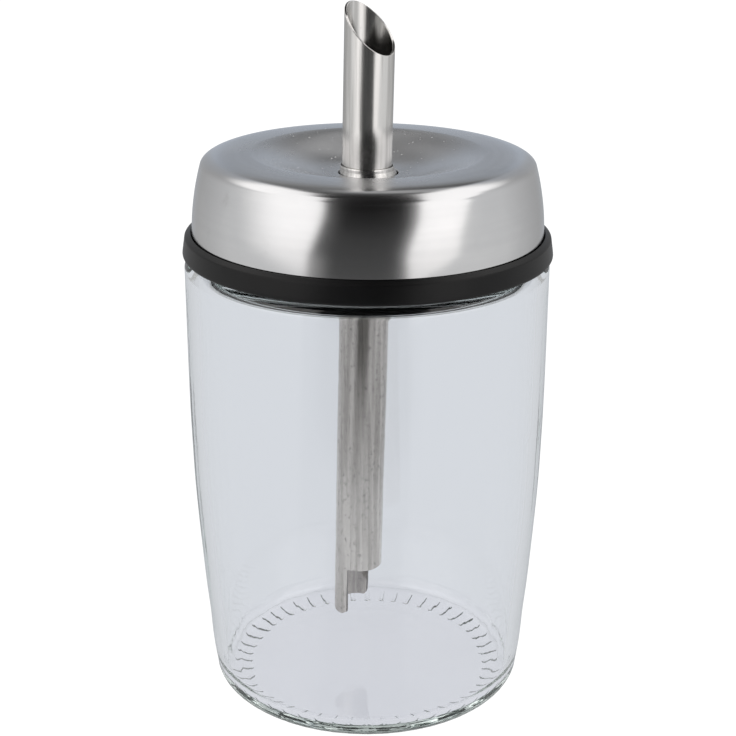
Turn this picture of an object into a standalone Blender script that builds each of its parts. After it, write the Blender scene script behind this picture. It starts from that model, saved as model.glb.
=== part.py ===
"""Sugar dispenser: a pressed glass jar, a screw-on lid of dished steel over a black plastic
insert, and a steel dosing tube that passes through the lid. Metres, +Z up, origin at the
centre of the base, on the surface the jar stands on. The tube's low lip faces right and
forward (+X, -Y)."""

import math

import bmesh
import bpy
from mathutils import Matrix, Vector

MM = 0.001

# ---------------------------------------------------------------- turned pieces
SEGMENTS = 48
TUBE_SEGMENTS = 32

# ---------------------------------------------------------------- glass jar (mm)
FOOT_INNER_R = 23.6
FOOT_OUTER_R = 25.6
PUNT_DEPTH = 0.6
SOLE_R = 15.0
SOLE_DEG = 24.0
HEEL_R = 2.8
HEEL_CENTRE = (30.34, 3.8)
BODY_R = 37.0
WALL = 2.6
# (radius, height) of the inside of the floor and of its corner, from the wall to the middle
INSIDE_FLOOR = [
    (31.2, 7.6),
    (31.0, 6.0),
    (30.4, 4.4),
    (29.2, 3.2),
    (27.2, 2.65),
    (24.5, 2.5),
]
SHOULDER_R = 2.3
SHOULDER_Z = 95.0
SHOULDER_UNDER_Z = 92.5
NECK_OUTER_R = 31.3
NECK_INNER_R = 28.6
RIM_Z = 106.3
# (radius, height) of the outer wall, from above the heel to below the shoulder
OUTER_WALL = [
    (33.83, 9.0),
    (34.34, 16.0),
    (35.0, 23.0),
    (35.58, 31.0),
    (36.12, 39.0),
    (36.55, 47.0),
    (36.78, 55.0),
    (36.96, 63.0),
    (37.0, 73.0),
    (37.0, 83.0),
]

# ---------------------------------------------------------------- screw thread (mm)
PITCH = 4.23
THREAD_TURNS = 1.25
THREAD_TAPER = 0.08
THREAD_START_DEG = 2.9
ROOT_WIDTH = 1.7
CREST_WIDTH = 0.7
JAR_CREST_R = 32.5
JAR_THREAD_Z = 99.0
LID_CREST_R = 31.7

# ---------------------------------------------------------------- lid insert (mm)
INSERT_BORE_R = 7.3
INSERT_TOP_Z = 109.8
INSERT_UNDER_Z = 108.0
SKIRT_INNER_R = 32.8
SKIRT_OUTER_R = 34.5
GROOVE_FLOOR_Z = 98.4
GROOVE_OUTER_R = 35.9
BAND_LOW_Z = 95.34
# (radius, height) of the band from its thin lip beside the groove down its tapering face
BAND_FACE = [
    (35.9, 99.8),
    (36.03, 99.93),
    (36.56, 99.93),
    (37.03, 99.2),
    (37.57, 96.2),
    (37.6, 95.8),
    (37.45, 95.46),
    (37.15, BAND_LOW_Z),
]

# ---------------------------------------------------------------- sealing ring (mm)
SEAL_INNER_R = 26.6
SEAL_OUTER_R = 32.4
SEAL_LOW_Z = 106.6
SEAL_HIGH_Z = 107.7

# ---------------------------------------------------------------- lid shell (mm)
SHEET = 0.5
SHELL_EDGE_Z = 98.7
SHELL_HOLE_R = 6.0
SHELL_HOLE_Z = 111.6
CREST_R = 26.5
CREST_Z = 115.75
# (radius, height) of the outside of the lid's side, its shoulder and the rim of its top
LID_SIDE = [
    (35.47, 99.2),
    (35.37, 102.2),
    (35.08, 105.4),
    (34.6, 108.6),
    (33.92, 111.8),
    (33.6, 113.0),
    (33.36, 113.7),
    (32.95, 114.25),
    (32.3, 114.75),
    (30.9, 115.26),
    (29.0, 115.6),
]

# ---------------------------------------------------------------- dosing tube (mm)
TUBE_R = 5.0
TUBE_BORE_R = 4.5
TUBE_TILT_DEG = 1.18
TUBE_PIVOT_Z = 116.0
TIP_Z = 144.7
LIP_Z = 135.2
LIP_AZIMUTH_DEG = -41.5
TONGUE_TOP_Z = 25.35
TONGUE_LOW_Z = 14.9
TONGUE_CORNER = 1.3
TONGUE_OPEN_AZIMUTH_DEG = -27.0

# ---------------------------------------------------------------- tube fittings (mm)
FIT = 0.1
COLLAR_TOP_Z = 113.1
COLLAR_NECK_R = 5.45
COLLAR_FOOT_R = 5.6
COLLAR_FLANGE_R = 7.7
COLLAR_FLANGE_Z = (110.2, 110.65)
BUSH_R = 6.9
BUSH_Z = (107.45, 109.65)
RETAINER_R = 8.6
RETAINER_Z = (106.6, 107.1)
RETAINER_TEETH = 6


def clear_scene():
    for obj in list(bpy.data.objects):
        bpy.data.objects.remove(obj, do_unlink=True)


def material(name, color, roughness, metallic=0.0, transmission=0.0, ior=1.45):
    mat = bpy.data.materials.new(name)
    mat.use_nodes = True
    shader = mat.node_tree.nodes["Principled BSDF"]
    shader.inputs["Base Color"].default_value = (*color, 1.0)
    shader.inputs["Roughness"].default_value = roughness
    shader.inputs["Metallic"].default_value = metallic
    shader.inputs["Transmission Weight"].default_value = transmission
    shader.inputs["IOR"].default_value = ior
    mat.diffuse_color = (*color, 1.0)
    return mat


def add_object(name, mesh, mat, parent=None, location=(0, 0, 0)):
    mesh.materials.append(mat)
    obj = bpy.data.objects.new(name, mesh)
    bpy.context.scene.collection.objects.link(obj)
    obj.parent = parent
    obj.location = location
    return obj


def add_empty(name, location=(0, 0, 0), rotation=(0, 0, 0), parent=None):
    empty = bpy.data.objects.new(name, None)
    empty.empty_display_size = 0.01
    bpy.context.scene.collection.objects.link(empty)
    empty.parent = parent
    empty.location = location
    empty.rotation_euler = rotation
    return empty


def as_cutter(obj):
    obj.hide_render = True
    obj.display_type = "WIRE"


def arc(cx, cz, radius, start_deg, end_deg, steps):
    """Points on an arc in the (radius, height) plane, both ends included."""
    points = []
    for i in range(steps + 1):
        a = math.radians(start_deg + (end_deg - start_deg) * i / steps)
        points.append((cx + radius * math.cos(a), cz + radius * math.sin(a)))
    return points


def offset_inward(points, distance):
    """The same open profile moved towards the side on its right."""
    moved = []
    for i, (r, z) in enumerate(points):
        r0, z0 = points[max(i - 1, 0)]
        r1, z1 = points[min(i + 1, len(points) - 1)]
        length = math.hypot(r1 - r0, z1 - z0)
        moved.append((r - (z1 - z0) / length * distance, z + (r1 - r0) / length * distance))
    return moved


def turned(name, profile, mat, segments=SEGMENTS, closed=True, parent=None, z0=0.0):
    """A solid of revolution about Z. The profile is (radius, height) in mm. It is a loop that
    keeps clear of the axis or, with closed=False, a line that starts and ends on it."""
    bm = bmesh.new()
    verts = [bm.verts.new((r * MM, 0.0, (z - z0) * MM)) for r, z in profile]
    count = len(verts)
    edges = [
        bm.edges.new((verts[i], verts[(i + 1) % count]))
        for i in range(count if closed else count - 1)
    ]
    bmesh.ops.spin(
        bm,
        geom=verts + edges,
        cent=(0, 0, 0),
        axis=(0, 0, 1),
        angle=2 * math.pi,
        steps=segments,
        use_merge=True,
    )
    bmesh.ops.remove_doubles(bm, verts=bm.verts, dist=1e-6)
    bmesh.ops.recalc_face_normals(bm, faces=bm.faces)
    mesh = bpy.data.meshes.new(name)
    bm.to_mesh(mesh)
    bm.free()
    mesh.shade_smooth()
    mesh.set_sharp_from_angle(angle=math.radians(32))
    return add_object(name, mesh, mat, parent, (0, 0, z0 * MM))


def prism(name, outline, axis_from, axis_to, frame, mat, parent=None):
    """An outline of (u, v) in mm, extruded between two distances along the frame's third axis."""
    bm = bmesh.new()
    near = [bm.verts.new(frame @ Vector((u * MM, v * MM, axis_from * MM))) for u, v in outline]
    face = bm.faces.new(near)
    made = bmesh.ops.extrude_face_region(bm, geom=[face])
    far = [v for v in made["geom"] if isinstance(v, bmesh.types.BMVert)]
    shift = frame.to_3x3() @ Vector((0, 0, (axis_to - axis_from) * MM))
    bmesh.ops.translate(bm, verts=far, vec=shift)
    bmesh.ops.recalc_face_normals(bm, faces=bm.faces)
    mesh = bpy.data.meshes.new(name)
    bm.to_mesh(mesh)
    bm.free()
    return add_object(name, mesh, mat, parent)


def thread_ridge(name, root_r, crest_r, start_z, mat, parent=None):
    """One helical ridge of trapezoid section whose height fades out at both ends."""
    bm = bmesh.new()
    steps = int(round(THREAD_TURNS * SEGMENTS))
    rings = []
    for i in range(steps + 1):
        turn = i / SEGMENTS
        a = 2 * math.pi * turn + math.radians(THREAD_START_DEG)
        z = start_z + PITCH * turn
        fade = min(1.0, turn / THREAD_TAPER, (THREAD_TURNS - turn) / THREAD_TAPER)
        crest = root_r + (crest_r - root_r) * (0.15 + 0.85 * max(fade, 0.0))
        section = [
            (root_r, z - ROOT_WIDTH / 2),
            (crest, z - CREST_WIDTH / 2),
            (crest, z + CREST_WIDTH / 2),
            (root_r, z + ROOT_WIDTH / 2),
        ]
        rings.append(
            [
                bm.verts.new((r * math.cos(a) * MM, r * math.sin(a) * MM, h * MM))
                for r, h in section
            ]
        )
    for first, second in zip(rings, rings[1:]):
        for j in range(4):
            k = (j + 1) % 4
            bm.faces.new((first[j], first[k], second[k], second[j]))
    bm.faces.new(rings[0])
    bm.faces.new(rings[-1])
    bmesh.ops.recalc_face_normals(bm, faces=bm.faces)
    mesh = bpy.data.meshes.new(name)
    bm.to_mesh(mesh)
    bm.free()
    ridge = add_object(name, mesh, mat, parent)
    as_cutter(ridge)
    return ridge


def boolean(obj, other, operation):
    mod = obj.modifiers.new(other.name, "BOOLEAN")
    mod.operation = operation
    mod.solver = "EXACT"
    mod.object = other


# ---------------------------------------------------------------- profiles
def jar_profile():
    """The jar stands on a narrow flat ring; from there its sole curves up into the heel."""
    sole = [(r, z) for r, z in arc(FOOT_OUTER_R, SOLE_R, SOLE_R, -90, -90 + SOLE_DEG, 5)]
    heel = arc(*HEEL_CENTRE, HEEL_R, -90 + SOLE_DEG + 8, 0, 4)
    shoulder = arc(BODY_R - SHOULDER_R, SHOULDER_Z - SHOULDER_R, SHOULDER_R, 0, 90, 5)
    outside = (
        [(0.0, PUNT_DEPTH), (FOOT_INNER_R - 2.5, PUNT_DEPTH), (FOOT_INNER_R, 0.0)]
        + sole
        + heel
        + OUTER_WALL
        + shoulder
        + [(NECK_OUTER_R + 0.5, SHOULDER_Z), (NECK_OUTER_R, SHOULDER_Z + 0.5)]
    )
    rim_r = (NECK_OUTER_R - NECK_INNER_R) / 2
    rim = arc(NECK_INNER_R + rim_r, RIM_Z - rim_r, rim_r, 0, 180, 6)
    inner_shoulder = arc(
        NECK_INNER_R + 1.5, SHOULDER_UNDER_Z + 1.5, 1.5, 180, 270, 3
    ) + arc(BODY_R - WALL - 1.2, SHOULDER_UNDER_Z - 1.2, 1.2, 90, 0, 3)
    inner_wall = [(r - WALL, z) for r, z in reversed(OUTER_WALL[1:])]
    return outside + rim + inner_shoulder + inner_wall + INSIDE_FLOOR + [(0.0, INSIDE_FLOOR[-1][1])]


def dish_height(r):
    """Height of the lid's top between the hole in its middle and its crest."""
    t = (r - SHELL_HOLE_R) / (CREST_R - SHELL_HOLE_R)
    ease = (t * t * (3 - 2 * t)) ** 1.1
    return SHELL_HOLE_Z + (CREST_Z - SHELL_HOLE_Z) * ease


def shell_profile():
    steps = 9
    dish = []
    for i in range(steps + 1):
        r = CREST_R + (SHELL_HOLE_R - CREST_R) * i / steps
        dish.append((r, dish_height(r)))
    outside = list(reversed([(LID_SIDE[0][0], SHELL_EDGE_Z)] + LID_SIDE + dish))
    inside = [
        (r, z) for r, z in offset_inward(outside, -SHEET)
    ]
    inside[0] = (SHELL_HOLE_R, inside[0][1])
    inside[-1] = (inside[-1][0], SHELL_EDGE_Z)
    return outside + list(reversed(inside))


def insert_profile():
    return (
        [
            (INSERT_BORE_R, INSERT_TOP_Z),
            (33.0, INSERT_TOP_Z),
            (33.7, INSERT_TOP_Z - 1.4),
            (34.1, 104.4),
            (SKIRT_OUTER_R, 101.0),
            (SKIRT_OUTER_R, GROOVE_FLOOR_Z),
            (GROOVE_OUTER_R, GROOVE_FLOOR_Z),
        ]
        + BAND_FACE
        + [
            (SKIRT_INNER_R + 0.5, BAND_LOW_Z),
            (SKIRT_INNER_R, BAND_LOW_Z + 0.5),
            (SKIRT_INNER_R, INSERT_UNDER_Z),
            (INSERT_BORE_R, INSERT_UNDER_Z),
        ]
    )


def retainer_ring(name, mat, parent):
    """A flat push-on ring whose bore has notches between its teeth."""
    low, high = RETAINER_Z
    per_tooth = 8
    count = RETAINER_TEETH * per_tooth
    inner_r = TUBE_R + FIT
    bm = bmesh.new()
    loops = []
    for z in (low, high):
        ring = []
        for i in range(count):
            a = 2 * math.pi * i / count
            notch = i % per_tooth in (3, 4)
            # A tooth's edge lies on the flats of the ring around the tube.
            reach = 1.4 if notch else 0.06
            r = inner_r + reach
            ring.append(bm.verts.new((r * math.cos(a) * MM, r * math.sin(a) * MM, (z - TUBE_PIVOT_Z) * MM)))
        outer = []
        for i in range(count):
            a = 2 * math.pi * i / count
            outer.append(
                bm.verts.new(
                    (RETAINER_R * math.cos(a) * MM, RETAINER_R * math.sin(a) * MM, (z - TUBE_PIVOT_Z) * MM)
                )
            )
        loops.append((ring, outer))
    for i in range(count):
        k = (i + 1) % count
        (in0, out0), (in1, out1) = loops
        bm.faces.new((in0[i], in0[k], out0[k], out0[i]))
        bm.faces.new((in1[i], out1[i], out1[k], in1[k]))
        bm.faces.new((out0[i], out0[k], out1[k], out1[i]))
        bm.faces.new((in0[i], in1[i], in1[k], in0[k]))
    bmesh.ops.recalc_face_normals(bm, faces=bm.faces)
    mesh = bpy.data.meshes.new(name)
    bm.to_mesh(mesh)
    bm.free()
    return add_object(name, mesh, mat, parent)


def build():
    clear_scene()
    glass = material("glass_clear", (0.86, 0.92, 0.90), 0.02, transmission=1.0, ior=1.52)
    steel = material("lid_steel", (0.62, 0.62, 0.63), 0.22, metallic=1.0)
    tube_steel = material("tube_steel", (0.66, 0.65, 0.64), 0.18, metallic=1.0)
    collar_steel = material("collar_steel", (0.60, 0.60, 0.61), 0.20, metallic=1.0)
    black = material("insert_black", (0.012, 0.012, 0.013), 0.42)
    seal = material("seal_white", (0.72, 0.72, 0.70), 0.60)
    bush = material("bush_black", (0.02, 0.02, 0.02), 0.55)
    spring_steel = material("retainer_steel", (0.42, 0.42, 0.43), 0.30, metallic=1.0)

    # The jar stands still; the lid and all it carries share the vertical thread axis.
    jar_axis = add_empty("jar_axis")
    lid_axis = add_empty("lid_axis")
    tube_axis = add_empty(
        "tube_axis",
        location=(0, 0, TUBE_PIVOT_Z * MM),
        rotation=(0, math.radians(TUBE_TILT_DEG), 0),
        parent=lid_axis,
    )

    jar = turned("glass_jar", jar_profile(), glass, closed=False, parent=jar_axis)
    jar_thread = thread_ridge(
        "jar_thread_ridge", NECK_OUTER_R - 0.4, JAR_CREST_R, JAR_THREAD_Z, glass, jar_axis
    )
    boolean(jar, jar_thread, "UNION")

    insert = turned("lid_insert", insert_profile(), black, parent=lid_axis)
    lid_thread = thread_ridge(
        "lid_thread_ridge",
        SKIRT_INNER_R + 0.4,
        LID_CREST_R,
        JAR_THREAD_Z - PITCH / 2,
        black,
        lid_axis,
    )
    boolean(insert, lid_thread, "UNION")

    turned("lid_shell", shell_profile(), steel, parent=lid_axis)
    turned(
        "sealing_ring",
        [
            (SEAL_INNER_R, SEAL_HIGH_Z),
            (SEAL_OUTER_R, SEAL_HIGH_Z),
            (SEAL_OUTER_R, SEAL_LOW_Z),
            (SEAL_INNER_R, SEAL_LOW_Z),
        ],
        seal,
        parent=lid_axis,
    )

    # Everything fixed to the tube leans with it.
    bottom = TONGUE_LOW_Z - 0.4
    tube = turned(
        "dosing_tube",
        [(TUBE_BORE_R, TIP_Z + 0.6), (TUBE_R, TIP_Z + 0.6), (TUBE_R, bottom), (TUBE_BORE_R, bottom)],
        tube_steel,
        segments=TUBE_SEGMENTS,
        parent=tube_axis,
        z0=TUBE_PIVOT_Z,
    )
    tube.location = (0, 0, 0)

    # The slanted mouth: low on one side, its tip on the other.
    lip = math.radians(LIP_AZIMUTH_DEG)
    across = Vector((math.cos(lip), math.sin(lip), 0))
    sideways = Vector((-math.sin(lip), math.cos(lip), 0))
    mouth_frame = Matrix(
        (
            (across.x, 0, sideways.x, 0),
            (across.y, 0, sideways.y, 0),
            (0, 1, 0, 0),
            (0, 0, 0, 1),
        )
    )
    slope = (TIP_Z - LIP_Z) / (2 * TUBE_R)
    middle = (TIP_Z + LIP_Z) / 2 - TUBE_PIVOT_Z
    reach = 8.0
    mouth = prism(
        "mouth_cut",
        [
            (-reach, middle + slope * reach),
            (reach, middle - slope * reach),
            (reach, middle + 24),
            (-reach, middle + 24),
        ],
        -reach,
        reach,
        mouth_frame,
        tube_steel,
        parent=tube_axis,
    )
    as_cutter(mouth)
    boolean(tube, mouth, "DIFFERENCE")

    # The lower end: one half is cut away above a half-round tongue with rounded corners.
    open_side = math.radians(TONGUE_OPEN_AZIMUTH_DEG)
    out = Vector((math.cos(open_side), math.sin(open_side), 0))
    along = Vector((-math.sin(open_side), math.cos(open_side), 0))
    tongue_frame = Matrix(
        (
            (out.x, 0, along.x, 0),
            (out.y, 0, along.y, 0),
            (0, 1, 0, 0),
            (0, 0, 0, 1),
        )
    )
    top = TONGUE_TOP_Z - TUBE_PIVOT_Z
    low = TONGUE_LOW_Z - TUBE_PIVOT_Z
    tongue = prism(
        "tongue_cut",
        [(-reach, low)]
        + arc(-TONGUE_CORNER, low + TONGUE_CORNER, TONGUE_CORNER, 270, 360, 5)
        + [(0.0, top), (reach, top), (reach, low - 3), (-reach, low - 3)],
        -reach,
        reach,
        tongue_frame,
        tube_steel,
        parent=tube_axis,
    )
    as_cutter(tongue)
    boolean(tube, tongue, "DIFFERENCE")

    inner = TUBE_R + FIT
    flange_low, flange_high = COLLAR_FLANGE_Z
    collar = turned(
        "tube_collar",
        [
            (inner, COLLAR_TOP_Z),
            (COLLAR_NECK_R - 0.12, COLLAR_TOP_Z),
            (COLLAR_NECK_R, COLLAR_TOP_Z - 0.15),
            (COLLAR_NECK_R, COLLAR_TOP_Z - 0.8),
            (COLLAR_FOOT_R, flange_high),
            (COLLAR_FLANGE_R, flange_high),
            (COLLAR_FLANGE_R, flange_low),
            (inner, flange_low),
        ],
        collar_steel,
        segments=TUBE_SEGMENTS,
        parent=tube_axis,
        z0=TUBE_PIVOT_Z,
    )
    collar.location = (0, 0, 0)
    sleeve = turned(
        "tube_bush",
        [(inner, BUSH_Z[1]), (BUSH_R, BUSH_Z[1]), (BUSH_R, BUSH_Z[0]), (inner, BUSH_Z[0])],
        bush,
        segments=TUBE_SEGMENTS,
        parent=tube_axis,
        z0=TUBE_PIVOT_Z,
    )
    sleeve.location = (0, 0, 0)
    retainer_ring("tube_retainer", spring_steel, tube_axis)


build()
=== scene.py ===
"""Looks for the sugar dispenser: a ribbed pressed-glass jar, a black threaded insert, a dished
steel lid and a steel dosing tube, on a pale floor in soft studio light."""

import math

import bmesh
import bpy
import numpy as np
from mathutils import Matrix, Vector


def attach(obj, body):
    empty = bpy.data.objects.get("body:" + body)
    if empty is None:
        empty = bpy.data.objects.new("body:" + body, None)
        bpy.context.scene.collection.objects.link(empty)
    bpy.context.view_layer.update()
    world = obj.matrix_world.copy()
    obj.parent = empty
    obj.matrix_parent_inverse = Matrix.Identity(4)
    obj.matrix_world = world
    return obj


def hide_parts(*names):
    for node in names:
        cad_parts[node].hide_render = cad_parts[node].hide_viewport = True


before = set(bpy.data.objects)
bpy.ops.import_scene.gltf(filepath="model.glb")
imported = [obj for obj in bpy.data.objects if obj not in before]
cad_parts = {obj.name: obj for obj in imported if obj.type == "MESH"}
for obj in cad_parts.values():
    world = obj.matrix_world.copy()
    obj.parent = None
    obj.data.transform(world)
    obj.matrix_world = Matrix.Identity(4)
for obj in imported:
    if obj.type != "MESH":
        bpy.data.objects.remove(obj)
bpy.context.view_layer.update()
MM = 0.001

# ------------------------------------------------------------------ camera
CAMERA_X = 0.00022
CAMERA_Y = -0.3073
CAMERA_Z = 0.1837
PITCH_DEG = 20.34
ROLL_DEG = 0.08
LENS_MM = 76.74

# ------------------------------------------------------------------ object (mm)
PITCH = 4.23
THREAD_TURNS = 1.25
THREAD_START_DEG = 2.9
TUBE_R, TUBE_BORE_R = 5.0, 4.5
TUBE_TILT_DEG = 1.18
TUBE_PIVOT_Z = 116.0
TIP_Z, LIP_Z, LIP_AZIMUTH_DEG = 144.66, 135.19, -41.5
TONGUE_TOP_Z, TONGUE_LOW_Z, TONGUE_CORNER = 25.35, 14.9, 1.3
TONGUE_OPEN_AZIMUTH_DEG = -27.0
JAR_THREAD_Z = 99.0
LID_LEAN_DEG = 0.3
LID_LEAN_Z = 90.0
LID_PLAY = 0.12
RIBS = 50


# The jar's glass, seen in section: underside, sole, shoulder and the inside of its floor.
PUNT_Z = 0.6
SOLE_R = 15.0
SOLE_LIFT = 0.22
RIB_IN, RIB_OUT, RIB_HALF = 25.6, 30.6, 0.55
SHOULDER_Z, SHOULDER_R = 95.0, 2.3
INNER_SHOULDER_Z = 92.5
INNER_CORNER = [
    (31.3, 9.5), (31.2, 7.6), (31.0, 6.0), (30.4, 4.4), (29.2, 3.2), (27.2, 2.65), (24.5, 2.5),
    (20.0, 2.5),
]


# ================================================================== mesh helpers
def lerp(a, b, t):
    return a + (b - a) * t


def arc(cx, cz, radius, start_deg, end_deg, steps):
    out = []
    for i in range(steps + 1):
        a = math.radians(lerp(start_deg, end_deg, i / steps))
        out.append((cx + radius * math.cos(a), cz + radius * math.sin(a)))
    return out


def rounded(corners, closed=True):
    """A polyline whose corners (x, y, radius, steps) are replaced by arcs."""
    n = len(corners)
    out = []
    for i, corner in enumerate(corners):
        x, y = corner[0], corner[1]
        radius = corner[2] if len(corner) > 2 else 0.0
        steps = corner[3] if len(corner) > 3 else 4
        if radius <= 0 or (not closed and i in (0, n - 1)):
            out.append((x, y))
            continue
        p = Vector((x, y))
        a = Vector(corners[(i - 1) % n][:2]) - p
        b = Vector(corners[(i + 1) % n][:2]) - p
        la, lb = a.length, b.length
        a.normalize()
        b.normalize()
        half = math.acos(max(-1.0, min(1.0, a.dot(b)))) / 2
        if half > math.radians(89.5):
            out.append((x, y))
            continue
        reach = min(radius / math.tan(half), 0.48 * la, 0.48 * lb)
        r = reach * math.tan(half)
        centre = p + (a + b).normalized() * (r / math.sin(half))
        start = (p + a * reach) - centre
        end = (p + b * reach) - centre
        a0 = math.atan2(start.y, start.x)
        a1 = math.atan2(end.y, end.x)
        while a1 - a0 > math.pi:
            a1 -= 2 * math.pi
        while a1 - a0 < -math.pi:
            a1 += 2 * math.pi
        for k in range(steps + 1):
            t = lerp(a0, a1, k / steps)
            out.append((centre.x + r * math.cos(t), centre.y + r * math.sin(t)))
    return out


def smooth_line(points, per_span):
    """A Catmull-Rom curve through the points."""
    pts = [Vector(p) for p in points]
    pts = [pts[0] * 2 - pts[1]] + pts + [pts[-1] * 2 - pts[-2]]
    out = []
    for i in range(1, len(pts) - 2):
        p0, p1, p2, p3 = pts[i - 1 : i + 3]
        for k in range(per_span):
            t = k / per_span
            out.append(
                tuple(
                    0.5
                    * (
                        2 * p1
                        + (p2 - p0) * t
                        + (2 * p0 - 5 * p1 + 4 * p2 - p3) * t * t
                        + (3 * p1 - p0 - 3 * p2 + p3) * t**3
                    )
                )
            )
    out.append(tuple(pts[-2]))
    return out


def make_object(name, verts, faces, mat, body, replaces=(), sharp_deg=40.0):
    mesh = bpy.data.meshes.new(name)
    mesh.from_pydata(verts, [], faces)
    bm = bmesh.new()
    bm.from_mesh(mesh)
    bmesh.ops.remove_doubles(bm, verts=bm.verts, dist=1e-7)
    bmesh.ops.recalc_face_normals(bm, faces=bm.faces)
    bm.to_mesh(mesh)
    bm.free()
    mesh.shade_smooth()
    mesh.set_sharp_from_angle(angle=math.radians(sharp_deg))
    mesh.materials.append(mat)
    obj = bpy.data.objects.new(name, mesh)
    bpy.context.scene.collection.objects.link(obj)
    if body:
        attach(obj, body)
    if replaces:
        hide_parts(*replaces)
    return obj


def revolve(profile, columns, closed=True, shape=None, place=None):
    """Points and faces of a turned solid. The profile is (radius, height) in mm; columns is how
    many there are, or their angles; shape moves a point (radius, height, angle, index) before it
    is turned; place moves it afterwards."""
    rows = len(profile)
    if isinstance(columns, int):
        angles = [2 * math.pi * i / columns for i in range(columns)]
    else:
        angles = list(columns)
        columns = len(angles)
    verts = []
    for a in angles:
        c, s = math.cos(a), math.sin(a)
        for j, (r, z) in enumerate(profile):
            if shape:
                r, z = shape(r, z, a, j)
            p = Vector((r * c * MM, r * s * MM, z * MM))
            verts.append(place @ p if place else p)
    faces = []
    last = rows if closed else rows - 1
    for i in range(columns):
        k = (i + 1) % columns
        for j in range(last):
            m = (j + 1) % rows
            quad = (i * rows + j, k * rows + j, k * rows + m, i * rows + m)
            if profile[j][0] <= 1e-9:
                quad = (quad[0], quad[2], quad[3])
            elif profile[m][0] <= 1e-9:
                quad = (quad[0], quad[1], quad[2])
            faces.append(quad)
    return verts, faces


def leaning(degrees, height):
    """A lean towards +X about a point of the axis."""
    return (
        Matrix.Translation((0, 0, height * MM))
        @ Matrix.Rotation(math.radians(degrees), 4, "Y")
        @ Matrix.Translation((0, 0, -height * MM))
    )


TILT = leaning(TUBE_TILT_DEG, TUBE_PIVOT_Z)
# The lid sits on its thread with a little play, so it leans by a fraction of a degree.
LEAN = Matrix.Translation((LID_PLAY * MM, 0, 0)) @ leaning(LID_LEAN_DEG, LID_LEAN_Z)


# ================================================================== material helpers
class Nodes:
    """Small helper that adds and links shader nodes."""

    def __init__(self, tree):
        self.tree = tree
        tree.nodes.clear()

    def add(self, kind, **values):
        node = self.tree.nodes.new(kind)
        for key, value in values.items():
            setattr(node, key, value)
        return node

    def link(self, a, b):
        self.tree.links.new(a, b)

    def feed(self, socket, value):
        if isinstance(value, bpy.types.NodeSocket):
            self.link(value, socket)
        else:
            socket.default_value = value

    def math(self, op, a, b=None, c=None, clamp=False):
        node = self.add("ShaderNodeMath", operation=op, use_clamp=clamp)
        self.feed(node.inputs[0], a)
        if b is not None:
            self.feed(node.inputs[1], b)
        if c is not None:
            self.feed(node.inputs[2], c)
        return node.outputs[0]

    def step(self, value, low, high, a=0.0, b=1.0):
        node = self.add("ShaderNodeMapRange", interpolation_type="SMOOTHSTEP")
        self.feed(node.inputs["Value"], value)
        node.inputs["From Min"].default_value = low
        node.inputs["From Max"].default_value = high
        node.inputs["To Min"].default_value = a
        node.inputs["To Max"].default_value = b
        return node.outputs["Result"]

    def ramp(self, value, stops, mode="EASE"):
        node = self.add("ShaderNodeValToRGB")
        node.color_ramp.interpolation = mode
        elements = node.color_ramp.elements
        while len(elements) > 1:
            elements.remove(elements[-1])
        for i, (pos, color) in enumerate(stops):
            e = elements[0] if i == 0 else elements.new(pos)
            e.position = pos
            e.color = (*color, 1.0) if len(color) == 3 else color
        self.feed(node.inputs["Fac"], value)
        return node.outputs["Color"]

    def mix(self, fac, a, b, blend="MIX"):
        node = self.add("ShaderNodeMix", data_type="RGBA", blend_type=blend)
        self.feed(node.inputs[0], fac)
        for socket, value in ((node.inputs[6], a), (node.inputs[7], b)):
            if isinstance(value, bpy.types.NodeSocket):
                self.link(value, socket)
            else:
                socket.default_value = (*value, 1.0) if len(value) == 3 else value
        return node.outputs[2]

    def noise(self, vector, scale, detail=4.0, rough=0.5, distortion=0.0, out="Fac"):
        node = self.add("ShaderNodeTexNoise")
        if vector is not None:
            self.link(vector, node.inputs["Vector"])
        node.inputs["Scale"].default_value = scale
        node.inputs["Detail"].default_value = detail
        node.inputs["Roughness"].default_value = rough
        node.inputs["Distortion"].default_value = distortion
        return node.outputs[out]

    def specks(self, vector, scale, size, share):
        """Sparse round specks: 1 inside a speck, 0 elsewhere."""
        node = self.add("ShaderNodeTexVoronoi")
        self.link(vector, node.inputs["Vector"])
        node.inputs["Scale"].default_value = scale
        sep = self.add("ShaderNodeSeparateColor")
        self.link(node.outputs["Color"], sep.inputs[0])
        chosen = self.math("GREATER_THAN", sep.outputs[0], 1.0 - share)
        radius = self.math("MULTIPLY", sep.outputs[1], size)
        return self.math("MULTIPLY", self.math("LESS_THAN", node.outputs["Distance"], radius), chosen)

    def mapping(self, vector, scale=(1, 1, 1), location=(0, 0, 0)):
        node = self.add("ShaderNodeMapping")
        self.link(vector, node.inputs["Vector"])
        node.inputs["Scale"].default_value = scale
        node.inputs["Location"].default_value = location
        return node.outputs["Vector"]

    def bump(self, height, strength, distance, normal=None):
        node = self.add("ShaderNodeBump")
        self.link(height, node.inputs["Height"])
        node.inputs["Strength"].default_value = strength
        node.inputs["Distance"].default_value = distance
        if normal is not None:
            self.link(normal, node.inputs["Normal"])
        return node.outputs["Normal"]


def new_material(name):
    mat = bpy.data.materials.new(name)
    mat.use_nodes = True
    n = Nodes(mat.node_tree)
    out = n.add("ShaderNodeOutputMaterial")
    shader = n.add("ShaderNodeBsdfPrincipled")
    n.link(shader.outputs[0], out.inputs["Surface"])
    coords = n.add("ShaderNodeTexCoord").outputs["Object"]
    return mat, n, shader, out, coords


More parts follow.
